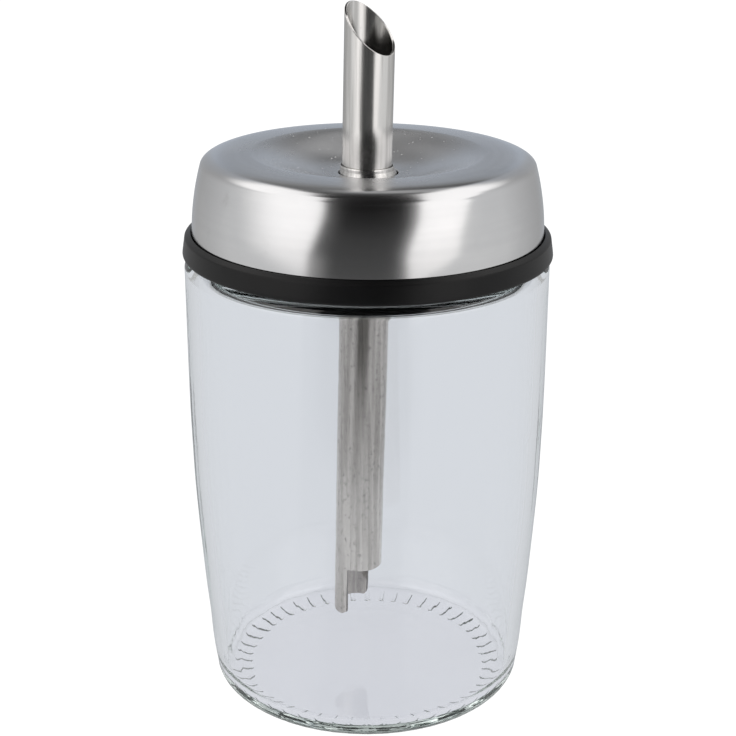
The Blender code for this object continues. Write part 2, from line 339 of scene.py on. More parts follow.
def polar(n, coords, radius_mm):
    """Object coordinates unrolled round Z: (arc length, height, radius), in metres."""
    sep = n.add("ShaderNodeSeparateXYZ")
    n.link(coords, sep.inputs[0])
    angle = n.math("ARCTAN2", sep.outputs[1], sep.outputs[0])
    arc_len = n.math("MULTIPLY", angle, radius_mm * MM)
    x2 = n.math("MULTIPLY", sep.outputs[0], sep.outputs[0])
    r2 = n.math("MULTIPLY_ADD", sep.outputs[1], sep.outputs[1], x2)
    radius = n.math("SQRT", r2)
    com = n.add("ShaderNodeCombineXYZ")
    n.link(arc_len, com.inputs[0])
    n.link(sep.outputs[2], com.inputs[1])
    n.link(radius, com.inputs[2])
    return com.outputs[0], radius, sep.outputs[2]


# ================================================================== materials
def glass_material():
    mat, n, s, out, coords = new_material("clear_pressed_glass")
    s.inputs["Base Color"].default_value = (0.985, 0.990, 1.0, 1)
    s.inputs["Transmission Weight"].default_value = 1.0
    s.inputs["IOR"].default_value = 1.52
    # Polished by fire, with faint handling haze and the slow ripple of pressed glass.
    haze = n.noise(coords, 90.0, 5.0, 0.6)
    sep = n.add("ShaderNodeSeparateXYZ")
    n.link(coords, sep.inputs[0])
    # The ribs' crests are scuffed white where the jar slides on the table.
    scuff = n.step(sep.outputs[2], 0.00005, 0.00017, 0.40, 0.0)
    n.feed(s.inputs["Roughness"], n.math("MAXIMUM", n.step(haze, 0.50, 0.90, 0.0, 0.02), scuff))
    ripple = n.noise(n.mapping(coords, (1.0, 1.0, 0.10)), 62.0, 2.0, 0.45)
    flow = n.noise(n.mapping(coords, (1.0, 1.0, 0.04)), 230.0, 2.0, 0.5)
    fine = n.noise(coords, 260.0, 3.0, 0.5)
    height = n.math("MULTIPLY_ADD", fine, 0.05, ripple)
    height = n.math("MULTIPLY_ADD", flow, 0.16, height)
    n.feed(s.inputs["Normal"], n.bump(height, 0.36, 0.0004))
    volume = n.add("ShaderNodeVolumeAbsorption")
    volume.inputs["Color"].default_value = (0.64, 0.75, 0.71, 1)
    volume.inputs["Density"].default_value = 14.0
    n.link(volume.outputs[0], out.inputs["Volume"])
    return mat


def lid_material():
    mat, n, s, out, coords = new_material("satin_lid_steel")
    # Turned finish: the hair lines run round the lid, so they change with radius and height only.
    unrolled, radius, height = polar(n, coords, 35.0)
    sep = n.add("ShaderNodeSeparateXYZ")
    n.link(unrolled, sep.inputs[0])
    com = n.add("ShaderNodeCombineXYZ")
    n.link(n.math("MULTIPLY", sep.outputs[0], 0.004), com.inputs[0])
    n.link(sep.outputs[1], com.inputs[1])
    n.link(sep.outputs[2], com.inputs[2])
    hair = n.noise(com.outputs[0], 3600.0, 2.0, 0.55)
    bands = n.noise(com.outputs[0], 420.0, 2.0, 0.5)
    smudge = n.noise(coords, 42.0, 5.0, 0.6)
    grime = n.noise(coords, 160.0, 4.0, 0.62)
    # Grains of sugar lie in the dish, mostly round the spout.
    dust = n.specks(coords, 1250.0, 0.27, 0.26)
    patchy = n.noise(coords, 70.0, 3.0, 0.5)
    dust = n.math("MULTIPLY", dust, n.step(patchy, 0.42, 0.56))
    dust = n.math("MULTIPLY", dust, n.step(radius, 0.016, 0.026, 1.0, 0.0))
    base = n.mix(n.step(smudge, 0.35, 0.7), (0.590, 0.594, 0.602), (0.650, 0.650, 0.652))
    base = n.mix(n.step(bands, 0.35, 0.65, 0.0, 0.35), base, (0.560, 0.562, 0.568))
    base = n.mix(n.step(grime, 0.60, 0.78, 0.0, 0.35), base, (0.47, 0.468, 0.465))
    base = n.mix(dust, base, (0.80, 0.80, 0.80))
    n.feed(s.inputs["Base Color"], base)
    n.feed(s.inputs["Metallic"], n.math("SUBTRACT", 1.0, n.math("MULTIPLY", dust, 0.8)))
    rough = n.math("MULTIPLY_ADD", smudge, 0.07, 0.085)
    rough = n.math("MULTIPLY_ADD", bands, 0.05, rough)
    rough = n.math("ADD", rough, n.step(radius, 0.0275, 0.0312, 0.12, 0.0))
    s.inputs["Anisotropic"].default_value = 0.45
    n.link(n.add("ShaderNodeTangent", direction_type="RADIAL", axis="Z").outputs[0], s.inputs["Tangent"])
    n.feed(s.inputs["Roughness"], n.math("MULTIPLY_ADD", dust, 0.4, rough))
    relief = n.math("MULTIPLY_ADD", bands, 0.8, hair)
    n.feed(s.inputs["Normal"], n.bump(relief, 0.05, 0.00003))
    return mat


def tube_material(name, bright_low=False):
    """Drawn steel. Above the lid it is polished; inside the jar it is dulled by sugar and
    washing, and both run into each other under the lid."""
    mat, n, s, out, coords = new_material(name)
    unrolled, radius, height = polar(n, coords, 5.0)
    lines = n.noise(n.mapping(unrolled, (1.0, 0.012, 1.0)), 3200.0, 3.0, 0.6)
    streak = n.noise(n.mapping(unrolled, (1.0, 0.03, 1.0)), 900.0, 3.0, 0.55)
    speck = n.noise(coords, 900.0, 3.0, 0.6)
    grit = n.noise(n.mapping(coords, (1.0, 1.0, 0.6)), 1300.0, 4.0, 0.7)
    blotch = n.noise(n.mapping(coords, (1.0, 1.0, 0.4)), 120.0, 4.0, 0.6)
    polished = n.mix(n.step(streak, 0.36, 0.64), (0.68, 0.672, 0.660), (0.53, 0.524, 0.512))
    polished = n.mix(n.step(speck, 0.70, 0.78, 0.0, 0.4), polished, (0.36, 0.35, 0.34))
    dull = n.mix(n.step(streak, 0.35, 0.65), (0.60, 0.565, 0.525), (0.41, 0.385, 0.355))
    dull = n.mix(n.step(blotch, 0.42, 0.72, 0.0, 0.45), dull, (0.58, 0.55, 0.515))
    dull = n.mix(n.step(grit, 0.56, 0.66, 0.0, 0.62), dull, (0.23, 0.215, 0.20))
    # Towards the bottom the dull steel is painted lighter, by up to 24 per cent.
    dull = n.mix(n.step(height, 0.030, 0.062, 1.0, 0.0), dull, n.mix(1.0, dull, (1.24, 1.24, 1.24), "MULTIPLY"))
    # At the cut lower end the bore is painted darker, as shade inside the tube, and the sawn edges are painted almost
    # black, as shade along them.
    sep = n.add("ShaderNodeSeparateXYZ")
    n.link(coords, sep.inputs[0])
    over = n.math("MULTIPLY_ADD", sep.outputs[2], -math.tan(math.radians(TUBE_TILT_DEG)), TUBE_PIVOT_Z * MM * math.tan(math.radians(TUBE_TILT_DEG)))
    across = n.math("ADD", sep.outputs[0], over)
    reach = n.math("SQRT", n.math("MULTIPLY_ADD", across, across, n.math("MULTIPLY", sep.outputs[1], sep.outputs[1])))
    bore = n.step(reach, 0.00462, 0.00486, 0.34, 0.0)
    open_a = math.radians(TONGUE_OPEN_AZIMUTH_DEG)
    off = n.math("MULTIPLY_ADD", across, math.cos(open_a), n.math("MULTIPLY", sep.outputs[1], math.sin(open_a)))
    foot = n.math("ADD", height, n.step(sep.outputs[1], -0.0033, -0.0012, 0.00055, 0.0))
    painted_edge_shade = n.math("MAXIMUM", n.step(n.math("ABSOLUTE", off), 0.00012, 0.00026, 0.72, 0.0), n.step(foot, 0.01480, 0.01520, 0.60, 0.0))
    painted_cut_shade = n.math("MULTIPLY", n.math("MAXIMUM", bore, painted_edge_shade), n.step(height, 0.0251, 0.0255, 1.0, 0.0))
    # Painted shade: the bore and the edges of the cut end are darkened in the colour here.
    dull = n.mix(painted_cut_shade, dull, (0.03, 0.028, 0.026))
    low = 1.0 if bright_low else n.step(height, 0.102, 0.108)
    n.feed(s.inputs["Base Color"], n.mix(low, dull, polished))
    s.inputs["Metallic"].default_value = 1.0
    glossy = n.math("MULTIPLY_ADD", streak, 0.14, 0.11)
    s.inputs["Anisotropic"].default_value = 0.5
    n.link(n.add("ShaderNodeTangent", direction_type="RADIAL", axis="Z").outputs[0], s.inputs["Tangent"])
    matte = n.math("MULTIPLY_ADD", blotch, 0.12, 0.14)
    mixed = n.add("ShaderNodeMix", data_type="FLOAT")
    n.feed(mixed.inputs[0], low)
    n.link(matte, mixed.inputs[2])
    n.link(glossy, mixed.inputs[3])
    n.feed(s.inputs["Roughness"], mixed.outputs[0])
    relief = n.math("MULTIPLY_ADD", streak, 0.7, lines)
    n.feed(s.inputs["Normal"], n.bump(relief, 0.22, 0.00005))
    return mat


def plastic_material():
    mat, n, s, out, coords = new_material("black_moulded_plastic")
    cloud = n.noise(coords, 60.0, 4.0, 0.6)
    grain = n.noise(coords, 2600.0, 3.0, 0.6)
    scuff = n.noise(n.mapping(coords, (1.0, 1.0, 3.0)), 500.0, 3.0, 0.6)
    base = n.mix(n.step(cloud, 0.35, 0.7), (0.0050, 0.0050, 0.0052), (0.0085, 0.0085, 0.0088))
    base = n.mix(n.step(scuff, 0.68, 0.80, 0.0, 0.5), base, (0.022, 0.022, 0.022))
    n.feed(s.inputs["Base Color"], base)
    _, radius, _ = polar(n, coords, 36.0)
    rough = n.math("MULTIPLY_ADD", cloud, 0.10, 0.30)
    n.feed(s.inputs["Roughness"], n.math("MULTIPLY_ADD", n.step(radius, 0.0341, 0.0352, 1.0, 0.0), 0.5, rough))
    s.inputs["IOR"].default_value = 1.46
    s.inputs["Specular IOR Level"].default_value = 0.22
    n.feed(s.inputs["Normal"], n.bump(grain, 0.08, 0.00003))
    return mat


def seal_material():
    mat, n, s, out, coords = new_material("soft_seal")
    cloud = n.noise(coords, 300.0, 4.0, 0.6)
    n.feed(s.inputs["Base Color"], n.mix(cloud, (0.66, 0.66, 0.64), (0.78, 0.78, 0.76)))
    n.feed(s.inputs["Roughness"], n.math("MULTIPLY_ADD", cloud, 0.15, 0.5))
    n.feed(s.inputs["Normal"], n.bump(cloud, 0.2, 0.00004))
    return mat


def bush_material():
    mat, n, s, out, coords = new_material("bush_rubber")
    cloud = n.noise(coords, 800.0, 4.0, 0.6)
    n.feed(s.inputs["Base Color"], n.mix(cloud, (0.016, 0.016, 0.016), (0.030, 0.030, 0.030)))
    n.feed(s.inputs["Roughness"], n.math("MULTIPLY_ADD", cloud, 0.2, 0.5))
    n.feed(s.inputs["Normal"], n.bump(cloud, 0.25, 0.00004))
    return mat


def spring_material():
    mat, n, s, out, coords = new_material("spring_steel")
    cloud = n.noise(coords, 700.0, 4.0, 0.6)
    n.feed(s.inputs["Base Color"], n.mix(cloud, (0.36, 0.36, 0.37), (0.48, 0.48, 0.49)))
    s.inputs["Metallic"].default_value = 1.0
    n.feed(s.inputs["Roughness"], n.math("MULTIPLY_ADD", cloud, 0.15, 0.25))
    n.feed(s.inputs["Normal"], n.bump(cloud, 0.15, 0.00003))
    return mat


# ================================================================== jar
def thread_lift(z, angle, start_z, crest, root_width, crest_width, taper=0.08):
    """How far a helical ridge stands out at this height and angle."""
    best = 0.0
    a = (angle - math.radians(THREAD_START_DEG)) % (2 * math.pi)
    for turn in (a / (2 * math.pi), a / (2 * math.pi) + 1.0):
        if turn > THREAD_TURNS:
            continue
        away = abs(z - (start_z + PITCH * turn))
        if away >= root_width / 2:
            continue
        t = min(1.0, (root_width / 2 - away) / ((root_width - crest_width) / 2))
        t = t * t * (3 - 2 * t)
        fade = max(0.0, min(1.0, turn / taper, (THREAD_TURNS - turn) / taper))
        best = max(best, crest * t * fade * (2 - fade))
    return best


def rib_columns():
    """Angles of the jar's columns, close together on each rib's flanks."""
    phases = [0.0, 0.125, 0.25, 0.345, 0.385, 0.42, 0.46, 0.5, 0.54, 0.58, 0.615, 0.655, 0.75, 0.875]
    return [2 * math.pi * (i + t) / RIBS for i in range(RIBS) for t in phases]


def build_jar(mat):
    outer_wall = [
        (33.14, 3.8), (33.83, 9.0), (34.34, 16.0), (35.0, 23.0), (35.58, 31.0), (36.12, 39.0),
        (36.55, 47.0), (36.78, 55.0), (36.94, 63.0), (37.0, 73.0), (37.0, 83.0),
        (37.0, SHOULDER_Z - SHOULDER_R),
    ]
    wall = smooth_line(outer_wall, 5)
    # The sole curves up from the ring the jar stands on; the tighter heel joins it to the wall.
    sole = []
    for i in range(49):
        a = math.radians(24.0 * i / 48)
        sole.append((25.4 + SOLE_R * math.sin(a), SOLE_R - SOLE_R * math.cos(a)))
    heel = arc(30.34, 3.8, 2.8, -62, 0, 10)
    shoulder = arc(37.0 - SHOULDER_R, SHOULDER_Z - SHOULDER_R, SHOULDER_R, 0, 90, 14)
    top = SHOULDER_Z
    neck = [
        (33.2, top), (32.0, top), (31.55, top + 0.08), (31.36, top + 0.3), (31.3, top + 0.7),
        (31.3, top + 1.8),
    ]
    steps = 60
    low, high = JAR_THREAD_Z - 1.1, JAR_THREAD_Z + 5.7
    neck += [(31.3, lerp(low, high, i / steps)) for i in range(steps + 1)]
    rim = arc(29.95, 104.95, 1.35, 0, 180, 14)
    inner = rounded(
        [
            (28.6, 103.5), (28.6, 99.0), (28.6, 96.0), (28.6, INNER_SHOULDER_Z, 1.5, 8),
            (34.4, INNER_SHOULDER_Z, 0.6, 8), (34.4, 89.0),
        ],
        closed=False,
    )
    inner_wall = [
        (34.4, 86.0), (34.4, 81.0), (34.4, 73.0), (34.34, 63.0), (34.16, 55.0), (33.93, 47.0),
        (33.5, 39.0), (32.96, 31.0), (32.38, 23.0), (31.74, 16.0), INNER_CORNER[0],
    ]
    inside = smooth_line(inner_wall, 4)
    corner = smooth_line(INNER_CORNER, 6)
    floor_in = [(lerp(INNER_CORNER[-1][0], 0.0, i / 5), INNER_CORNER[-1][1]) for i in range(1, 6)]
    foot = []
    for i in range(42):
        r = lerp(0.0, 24.6, i / 41)
        t = min(1.0, max(0.0, (r - 6.0) / 18.0))
        e = min(1.0, max(0.0, (r - 21.2) / 0.9))
        foot.append((r, PUNT_Z - (PUNT_Z - SOLE_LIFT - 0.03) * t * t * (3 - 2 * t) - 0.03 * e * e * (3 - 2 * e)))
    foot += [(24.75, SOLE_LIFT), (25.0, SOLE_LIFT), (25.2, SOLE_LIFT)]
    lower = foot + sole + heel
    profile = lower + wall[1:] + shoulder[1:] + neck + rim + inner + inside + corner[1:] + floor_in

    def wave(a, phase):
        return (
            0.45 * math.sin(7 * a + phase) + 0.35 * math.sin(13 * a + 2.3 * phase)
            + 0.30 * math.sin(29 * a - phase) + 0.22 * math.sin(61 * a + 1.7 * phase)
        )

    first_in = len(profile) - len(floor_in) - len(corner) + 1

    def shape(r, z, a, j):
        # Pressed glass is uneven where the mould's parts meet, at the heel and inside it.
        if len(foot) <= j < len(lower) + 8 and z > 0.45:
            t = min(1.0, (z - 0.45) / 0.8)
            r += 0.034 * t * wave(a, 0.9 + 0.25 * z)
            z += 0.026 * t * wave(a, 2.1 + 0.15 * r)
        if first_in - 4 <= j < len(profile) - len(floor_in) - 2 and r > 28.0:
            z += 0.016 * min(1.0, (r - 28.0) / 1.5) * wave(a, 0.4 + 0.3 * r)
        # Short radial ribs stand out of the sole and carry the jar.
        if len(foot) <= j < len(lower):
            z += SOLE_LIFT * min(1.0, max(0.0, (32.6 - r) / 2.0))
        if j < len(lower) and 24.6 < r < 31.2:
            phase = (a * RIBS / (2 * math.pi)) % 1.0
            side = abs(phase - 0.5) * 2 * math.pi * r / RIBS
            end = max(RIB_IN + RIB_HALF - r, r - RIB_OUT + RIB_HALF, 0.0)
            away = math.hypot(side, end) / RIB_HALF
            rise = max(0.0, 1 - away * away)
            return r, z - SOLE_LIFT * math.sqrt(rise) * (0.5 + 0.5 * rise)
        if low <= z <= high and 31.0 < r < 32.0:
            return r + thread_lift(z, a, JAR_THREAD_Z, 1.2, 1.7, 0.7), z
        return r, z

    verts, faces = revolve(profile, rib_columns(), closed=False, shape=shape)
    return make_object("jar_of_glass", verts, faces, mat, "jar", ("glass_jar",), 50)


# ================================================================== lid
def shell_outside():
    """The lid's outer line from its lower edge, over the shoulder and crest, into the dish."""
    side = []
    for i in range(21):
        z = lerp(98.75, 112.6, i / 20)
        side.append((35.47 - 0.00953 * max(0.0, z - 99.0) ** 2, z))
    corner = smooth_line(
        [
            side[-1], (33.56, 113.12), (33.42, 113.62), (33.14, 114.07), (32.68, 114.47),
            (31.95, 114.86), (30.77, 115.22), (29.1, 115.48), (27.2, 115.63), (25.2, 115.71),
            (23.4, 115.73),
        ],
        5,
    )
    rc, zc = corner[-1]
    dish = []
    steps = 46
    for i in range(1, steps + 1):
        r = lerp(rc, 6.0, i / steps)
        t = (r - 6.0) / (rc - 6.0)
        ease = 0.78 * (t * t * (3 - 2 * t)) ** 1.1 + 0.22 * t ** 2.4
        dish.append((r, 111.6 + (zc - 111.6) * ease))
    return side + corner[1:] + dish


def offset(points, distance):
    moved = []
    for i, (r, z) in enumerate(points):
        r0, z0 = points[max(i - 1, 0)]
        r1, z1 = points[min(i + 1, len(points) - 1)]
        length = math.hypot(r1 - r0, z1 - z0)
        moved.append((r - (z1 - z0) / length * distance, z + (r1 - r0) / length * distance))
    return moved


def build_shell(mat):
    outside = shell_outside()
    inside = offset(outside, 0.5)
    hole_o, hole_i = outside[-1], (6.0, inside[-1][1])
    outside = outside[:-1] + [(6.12, hole_o[1] + 0.0), (6.0, hole_o[1] - 0.12)]
    inside[-1] = hole_i
    profile = outside + list(reversed(inside))
    verts, faces = revolve(profile, 288, place=LEAN)
    return make_object("lid_of_steel", verts, faces, mat, "lid", ("lid_shell",), 50)


def build_insert(mat):
    corners = [
        (7.3, 109.8, 0.3), (33.0, 109.8, 0.6), (33.7, 108.4, 0.6), (34.1, 105.4, 1.0),
        (34.5, 102.0, 1.0), (34.5, 98.4, 0.1), (35.64, 98.4, 0.1), (35.68, 99.96, 0.14, 5),
        (36.94, 99.2, 0.5, 6), (37.39, 96.2, 0.6, 5),
        (37.43, 95.75, 0.3, 4), (37.29, 95.42, 0.2, 4), (36.9, 95.34, 0.1, 3),
        (35.7, 95.34, 0.2, 3), (34.7, 95.62, 0.2, 3), (33.3, 95.62, 0.1), (32.8, 96.1, 0.15),
    ]
    profile = rounded(corners)
    steps = 56
    start = JAR_THREAD_Z - PITCH / 2
    profile += [(32.8, lerp(start - 0.8, start + 6.2, i / steps)) for i in range(steps + 1)]
    profile += [(32.8, 107.4), (32.8, 108.0), (32.6, 108.0), (20.0, 108.0), (7.3, 108.0)]

    def shape(r, z, a, j):
        if abs(r - 32.8) < 1e-6 and 95.9 < z < 103.5:
            return r - thread_lift(z, a, start, 1.1, 1.7, 0.7), z
        return r, z

    verts, faces = revolve(profile, 288, shape=shape, place=LEAN)
    return make_object("insert_with_band", verts, faces, mat, "lid", ("lid_insert",), 40)


def build_seal(mat):
    profile = rounded([(26.6, 107.5, 0.25), (32.3, 107.5, 0.25), (32.3, 106.65, 0.25), (26.6, 106.65, 0.25)])
    verts, faces = revolve(profile, 144)
    return make_object("rim_seal", verts, faces, mat, "liner", ("sealing_ring",), 40)


# ================================================================== dosing tube
def build_tube(mat):
    """Outer and inner skins over one unrolled net, joined along every free edge."""
    columns = 128
    open_a = math.radians(TONGUE_OPEN_AZIMUTH_DEG)
    lip_a = math.radians(LIP_AZIMUTH_DEG)
    half = (TIP_Z - LIP_Z) / 2
    angles = [open_a + math.pi / 2 + 2 * math.pi * i / columns for i in range(columns)]
    rows = [lerp(TONGUE_TOP_Z, 129.0, i / 40) for i in range(41)]
    upper = 10
    tongue_rows = 14

    def mouth_z(a):
        return (TIP_Z + LIP_Z) / 2 - half * math.cos(a - lip_a)

    verts, faces = [], []
    index = {}

    def vert(key, radius, a, z):
        if key not in index:
            index[key] = len(verts)
            verts.append(TILT @ Vector((radius * math.cos(a) * MM, radius * math.sin(a) * MM, z * MM)))
        return index[key]

    def layer(tag, radius):
        grid = []
        for i, a in enumerate(angles):
            column = [vert((tag, i, j), radius, a, z) for j, z in enumerate(rows)]
            top = mouth_z(a)
            for k in range(1, upper + 1):
                column.append(vert((tag, i, 100 + k), radius, a, lerp(rows[-1], top, k / upper)))
            grid.append(column)
        quads = []
        for i in range(columns):
            k = (i + 1) % columns
            for j in range(len(grid[0]) - 1):
                quads.append((grid[i][j], grid[k][j], grid[k][j + 1], grid[i][j + 1]))
        # The tongue spans half the net, from column 0 to column columns / 2.
        span = columns // 2
        tongue = []
        for i in range(span + 1):
            a = angles[i]
            from_edge = min(i, span - i) * 2 * math.pi / columns * TUBE_R
            d = max(0.0, TONGUE_CORNER - from_edge)
            low = TONGUE_LOW_Z + TONGUE_CORNER - math.sqrt(max(0.0, TONGUE_CORNER**2 - d * d))
            if i > span // 2:
                # The front corner hangs lower and ends in a blunt point.
                t = min(1.0, max(0.0, (i / span - 0.62) / 0.30))
                low = TONGUE_LOW_Z + 0.72 * d - 0.55 * t * t * (3 - 2 * t)
            column = [grid[i][0]]
            for k in range(1, tongue_rows + 1):
                column.append(vert((tag, i, -k), radius, a, lerp(TONGUE_TOP_Z, low, k / tongue_rows)))
            tongue.append(column)
        for i in range(span):
            for j in range(tongue_rows):
                quads.append((tongue[i][j], tongue[i][j + 1], tongue[i + 1][j + 1], tongue[i + 1][j]))
        return grid, tongue, quads

    go, to, outer = layer("o", TUBE_R)
    gi, ti, inner = layer("i", TUBE_BORE_R)
    faces += outer + [tuple(reversed(q)) for q in inner]
    span = columns // 2
    for i in range(columns):
        k = (i + 1) % columns
        faces.append((go[i][-1], go[k][-1], gi[k][-1], gi[i][-1]))
        if i >= span:
            faces.append((go[i][0], gi[i][0], gi[k][0], go[k][0]))
    for i in range(span):
        faces.append((to[i][-1], ti[i][-1], ti[i + 1][-1], to[i + 1][-1]))
    for i in (0, span):
        for j in range(tongue_rows):
            faces.append((to[i][j], to[i][j + 1], ti[i][j + 1], ti[i][j]))
    tube = make_object("tube_for_dosing", verts, faces, mat, "lid", ("dosing_tube",), 40)
    bevel = tube.modifiers.new("worn_edges", "BEVEL")
    bevel.width = 0.00008
    bevel.segments = 2
    bevel.limit_method = "ANGLE"
    bevel.angle_limit = math.radians(50)
    bevel.harden_normals = False
    return tube


def build_collar(mat):
    corners = [
        (5.1, 112.5, 0.05, 2), (5.25, 113.06, 0.06, 3), (5.38, 113.1, 0.08, 4), (5.45, 112.8, 0.1, 3), (5.42, 112.3, 0.5, 5),
        (5.72, 111.5, 0.4, 4), (5.74, 110.65, 0.12, 4), (7.7, 110.65, 0.1, 3), (7.7, 110.2, 0.1, 3),
        (5.1, 110.2, 0.05, 2),
    ]
    verts, faces = revolve(rounded(corners), 96, place=TILT)
    # The flare is centred in the lid's hole and the bore on the tube.
    for v in verts:
        if math.hypot(v.x, v.y) > 5.25 * MM:
            t = min(1.0, max(0.0, (112.9 - v.z / MM) / 1.3))
            v.x += 0.30 * MM * t * t * (3 - 2 * t)
    return make_object("collar_of_tube", verts, faces, mat, "lid", ("tube_collar",), 40)


def build_bush(mat):
    corners = [(5.1, 109.65, 0.15), (6.9, 109.65, 0.25), (6.9, 107.45, 0.25), (5.1, 107.45, 0.15)]
    verts, faces = revolve(rounded(corners), 96, place=TILT)
    return make_object("bush_of_tube", verts, faces, mat, "lid", ("tube_bush",), 40)


def build_retainer(mat):
    """A push-on ring whose bore is notched into teeth."""
    columns, teeth = 144, 6
    verts, faces = [], []
    rings = []
    radii = [0.0, 0.25, 0.5, 0.75, 1.0]
    for z in (106.6, 107.1):
        for t in radii:
            ring = []
            for i in range(columns):
                a = 2 * math.pi * i / columns
                phase = (i * teeth / columns) % 1.0
                notch = 0.42 < phase < 0.60
                inner = 6.55 if notch else 5.16
                r = lerp(inner, 8.6, t)
                ring.append(len(verts))
                verts.append(TILT @ Vector((r * math.cos(a) * MM, r * math.sin(a) * MM, z * MM)))
            rings.append(ring)
    m = len(radii)
    for i in range(columns):
        k = (i + 1) % columns
        for t in range(m - 1):
            a, b = rings[t], rings[t + 1]
            faces.append((a[i], a[k], b[k], b[i]))
            a, b = rings[m + t], rings[m + t + 1]
            faces.append((a[i], b[i], b[k], a[k]))
        faces.append((rings[m - 1][i], rings[m - 1][k], rings[2 * m - 1][k], rings[2 * m - 1][i]))
        faces.append((rings[0][i], rings[m][i], rings[m][k], rings[0][k]))
    return make_object("lock_ring_of_tube", verts, faces, mat, "lid", ("tube_retainer",), 40)


# ================================================================== stage
def build_floor():
    """A pale table. Mirror images in the steel and glass see it end a little way in front."""
    mat, n, s, out, coords = new_material("pale_floor")
    cloud = n.noise(coords, 3.0, 3.0, 0.5)
    n.feed(s.inputs["Base Color"], n.mix(cloud, (0.045, 0.045, 0.045), (0.055, 0.055, 0.055)))
    s.inputs["Roughness"].default_value = 0.9
    s.inputs["Specular IOR Level"].default_value = 0.0
    sep = n.add("ShaderNodeSeparateXYZ")
    n.link(coords, sep.inputs[0])
    front = n.math("MULTIPLY", sep.outputs[1], -1.0)
    wedge = n.math("MULTIPLY_ADD", n.math("ABSOLUTE", sep.outputs[0]), -1.7, front)
    beyond = n.math("MULTIPLY", n.step(front, 0.132, 0.206), n.step(wedge, -0.04, 0.04))
    mirrored = n.math("GREATER_THAN", n.add("ShaderNodeLightPath").outputs["Glossy Depth"], 0.5)
    # Under the jar the table glows a little brighter: a painted pool of light.
    x2 = n.math("MULTIPLY", sep.outputs[0], sep.outputs[0])
    away = n.math("SQRT", n.math("MULTIPLY_ADD", sep.outputs[1], sep.outputs[1], x2))
    pale = n.mix(n.step(away, 0.030, 0.044), (0.676, 0.684, 0.734), (0.650, 0.668, 0.703))
    seen = n.mix(n.math("MULTIPLY", beyond, mirrored), pale, (0.07, 0.07, 0.07))
    # Straight from the camera the table is blown out to white.
    direct = n.add("ShaderNodeLightPath").outputs["Is Camera Ray"]
    n.feed(s.inputs["Emission Color"], n.mix(direct, seen, (1.05, 1.05, 1.05)))
    s.inputs["Emission Strength"].default_value = 1.0
    bm = bmesh.new()
    bmesh.ops.create_circle(bm, cap_ends=True, segments=96, radius=12.0)
    mesh = bpy.data.meshes.new("floor")
    bm.to_mesh(mesh)
    bm.free()
    mesh.materials.append(mat)
    floor = bpy.data.objects.new("floor", mesh)
    floor.location = (0, 0, -0.00005)
    bpy.context.scene.collection.objects.link(floor)
    floor.visible_glossy = False


